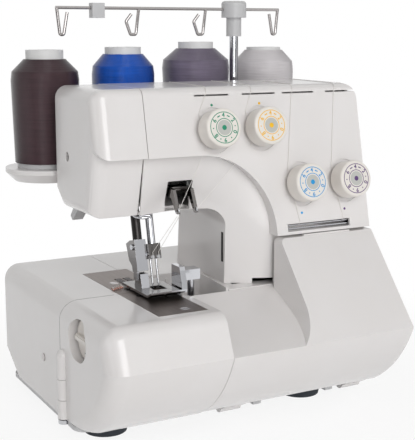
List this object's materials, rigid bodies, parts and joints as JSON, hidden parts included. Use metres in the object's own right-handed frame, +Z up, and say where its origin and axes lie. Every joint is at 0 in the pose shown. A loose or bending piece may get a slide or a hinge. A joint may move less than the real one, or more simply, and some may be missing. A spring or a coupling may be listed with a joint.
{
  "type": "serger overlock machine",
  "caption": "Tabletop overlock sewing machine with hinged looper and cloth covers, tension dials on a leaning panel, handwheel, presser lever and a telescopic stand of thread cones.",
  "frame": {"origin": "on the table, under the middle of the machine's bounding box", "axes": "+X towards the handwheel, +Y towards the thread stand at the back, +Z up"},
  "size_m": [0.3128, 0.27, 0.36],
  "materials": {
    "warm_white": "glossy",
    "dial_white": "satin",
    "light_grey": "satin",
    "spool_white": "satin",
    "slate_rubber": "matt",
    "plate_steel": "satin",
    "bright_steel": "satin",
    "chrome": "polished",
    "black_steel": "satin",
    "cast_alloy": "cast",
    "post_brass": "turned",
    "motor_black": "satin",
    "pulley_black": "satin",
    "belt_rubber": "matt",
    "black_plastic": "satin",
    "brown_thread": "soft sheen",
    "blue_thread": "soft sheen",
    "violet_thread": "soft sheen",
    "silver_thread": "soft sheen"
  },
  "bodies": {
    "machine": {"left_bed_cover": "warm_white", "rear_bed_cover": "warm_white", "chute_guard": "warm_white", "arm_housing": "warm_white", "head_end_cover": "warm_white", "tension_panel": "warm_white", "right_end_cover": "warm_white", "stand_bracket": "warm_white", "thread_tray": "warm_white", "base_pan": "light_grey", "cone_holders": "light_grey", "cone_spools": "spool_white", "feet": "slate_rubber", "needle_plate": "plate_steel", "cover_screws": "bright_steel", "swing_hinge_pin": "bright_steel", "lower_knife": "bright_steel", "pole_lower_tube": "chrome", "chassis": "cast_alloy", "tension_posts": "post_brass", "bushings": "post_brass", "motor": "motor_black", "drive_belt": "belt_rubber", "power_inlet": "black_plastic", "brown_thread_cone": "brown_thread", "blue_thread_cone": "blue_thread", "violet_thread_cone": "violet_thread", "silver_thread_cone": "silver_thread"},
    "swing_cover": {"swing_cover": "warm_white", "front_needle_plate": "plate_steel", "front_plate_screws": "bright_steel"},
    "cover_rod": {"cover_hinge_rod": "bright_steel"},
    "front_cover": {"front_cover": "warm_white"},
    "left_needle_dial": {"left_needle_dial": "dial_white"},
    "right_needle_dial": {"right_needle_dial": "dial_white"},
    "upper_looper_dial": {"upper_looper_dial": "dial_white"},
    "lower_looper_dial": {"lower_looper_dial": "dial_white"},
    "width_dial": {"width_dial": "dial_white"},
    "presser_lever": {"presser_lever": "light_grey"},
    "presser": {"presser_bar": "black_steel", "presser_holder": "chrome"},
    "presser_foot": {"presser_foot": "chrome"},
    "needle": {"needle_bar": "chrome", "needle_clamp": "chrome", "needles": "bright_steel"},
    "take_up": {"take_up_lever": "black_steel"},
    "upper_looper": {"upper_looper": "bright_steel"},
    "lower_looper": {"lower_looper": "bright_steel"},
    "upper_knife": {"upper_knife": "bright_steel"},
    "feed_dogs": {"feed_dogs": "bright_steel"},
    "main_shaft": {"main_shaft": "bright_steel", "handwheel": "dial_white"},
    "motor_pulley": {"motor_pulley": "pulley_black"},
    "stitch_length_knob": {"stitch_length_knob": "dial_white"},
    "differential_feed_knob": {"differential_feed_knob": "dial_white"},
    "power_switch": {"power_switch": "black_plastic"},
    "antenna": {"pole_upper_tube": "chrome", "pole_cap": "light_grey", "guide_bar": "chrome", "guide_clip": "light_grey"}
  },
  "joints": [
    {"name": "swing_cover_hinge", "type": "hinge", "parent": "machine", "child": "swing_cover", "pos_m": [-0.151, -0.032, 0.04], "axis": [0, 0, -1], "range_deg": [0, 100]},
    {"name": "front_cover_slide", "type": "slide", "parent": "machine", "child": "cover_rod", "axis": [1, 0, 0], "range_m": [0, 0.008], "stiffness_N_per_m": 150},
    {"name": "front_cover_hinge", "type": "hinge", "parent": "cover_rod", "child": "front_cover", "pos_m": [0.05, -0.067, 0.013], "axis": [1, 0, 0], "range_deg": [0, 44]},
    {"name": "left_needle_dial_turn", "type": "hinge", "parent": "machine", "child": "left_needle_dial", "pos_m": [-0.019, -0.04876, 0.249], "axis": [0, -0.9775, 0.2108], "range_deg": [-140, 170]},
    {"name": "right_needle_dial_turn", "type": "hinge", "parent": "machine", "child": "right_needle_dial", "pos_m": [0.0265, -0.04876, 0.249], "axis": [0, -0.9775, 0.2108], "range_deg": [-140, 170]},
    {"name": "upper_looper_dial_turn", "type": "hinge", "parent": "machine", "child": "upper_looper_dial", "pos_m": [0.0623, -0.05943, 0.1995], "axis": [0, -0.9775, 0.2108], "range_deg": [-140, 170]},
    {"name": "lower_looper_dial_turn", "type": "hinge", "parent": "machine", "child": "lower_looper_dial", "pos_m": [0.1083, -0.05943, 0.1995], "axis": [0, -0.9775, 0.2108], "range_deg": [-140, 170]},
    {"name": "width_dial_turn", "type": "hinge", "parent": "machine", "child": "width_dial", "pos_m": [-0.144, -0.065, 0.089], "axis": [1, 0, 0], "range_deg": [-90, 90]},
    {"name": "presser_lever_turn", "type": "hinge", "parent": "machine", "child": "presser_lever", "pos_m": [-0.099, 0.034, 0.192], "axis": [1, 0, 0], "range_deg": [0, 35]},
    {"name": "presser_lift", "type": "slide", "parent": "machine", "child": "presser", "axis": [0, 0.2164, 0.9763], "range_m": [0, 0.006]},
    {"name": "presser_foot_rock", "type": "hinge", "parent": "presser", "child": "presser_foot", "pos_m": [-0.076, -0.024, 0.125], "axis": [1, 0, 0], "range_deg": [-2, 2]},
    {"name": "needle_stroke", "type": "slide", "parent": "machine", "child": "needle", "axis": [0, 0.2164, 0.9763], "range_m": [-0.014, 0.008]},
    {"name": "take_up_swing", "type": "hinge", "parent": "machine", "child": "take_up", "pos_m": [-0.042, -0.02, 0.198], "axis": [1, 0, 0], "range_deg": [-5, 8.5]},
    {"name": "upper_looper_swing", "type": "hinge", "parent": "machine", "child": "upper_looper", "pos_m": [0.008, -0.07, 0.052], "axis": [0, 1, 0], "range_deg": [-6, 10]},
    {"name": "lower_looper_swing", "type": "hinge", "parent": "machine", "child": "lower_looper", "pos_m": [-0.028, -0.07, 0.05], "axis": [0, 1, 0], "range_deg": [-10, 6]},
    {"name": "upper_knife_stroke", "type": "slide", "parent": "machine", "child": "upper_knife", "axis": [0, 0, 1], "range_m": [-0.0036, 0.0022]},
    {"name": "feed_dog_stroke", "type": "slide", "parent": "machine", "child": "feed_dogs", "axis": [0, 1, 0], "range_m": [-0.002, 0.002]},
    {"name": "main_shaft_turn", "type": "hinge", "parent": "machine", "child": "main_shaft", "pos_m": [0.1, 0.03, 0.062], "axis": [1, 0, 0], "continuous": true},
    {"name": "motor_turn", "type": "hinge", "parent": "machine", "child": "motor_pulley", "pos_m": [0.1, 0.092, 0.052], "axis": [1, 0, 0], "continuous": true},
    {"name": "stitch_length_turn", "type": "hinge", "parent": "machine", "child": "stitch_length_knob", "pos_m": [0.132, -0.024, 0.128], "axis": [1, 0, 0], "range_deg": [-120, 120]},
    {"name": "differential_feed_turn", "type": "hinge", "parent": "machine", "child": "differential_feed_knob", "pos_m": [0.132, 0.022, 0.13], "axis": [1, 0, 0], "range_deg": [-120, 120]},
    {"name": "power_switch_rock", "type": "hinge", "parent": "machine", "child": "power_switch", "pos_m": [0.13075, 0.096, 0.086], "axis": [0, 1, 0], "range_deg": [-6, 6]},
    {"name": "antenna_slide", "type": "slide", "parent": "machine", "child": "antenna", "axis": [0, 0, 1], "range_m": [0, 0.06]}
  ],
  "couplings": [
    {"joint": "presser_lever_turn", "follows": "presser_lift", "rad_per_m": 101.8},
    {"joint": "take_up_swing", "follows": "needle_stroke", "rad_per_m": -10},
    {"joint": "upper_looper_swing", "follows": "needle_stroke", "rad_per_m": -12},
    {"joint": "lower_looper_swing", "follows": "needle_stroke", "rad_per_m": 12},
    {"joint": "upper_knife_stroke", "follows": "needle_stroke", "ratio": 0.25},
    {"joint": "feed_dog_stroke", "follows": "needle_stroke", "ratio": 0.14},
    {"joint": "motor_turn", "follows": "main_shaft_turn", "ratio": 3.3333}
  ]
}
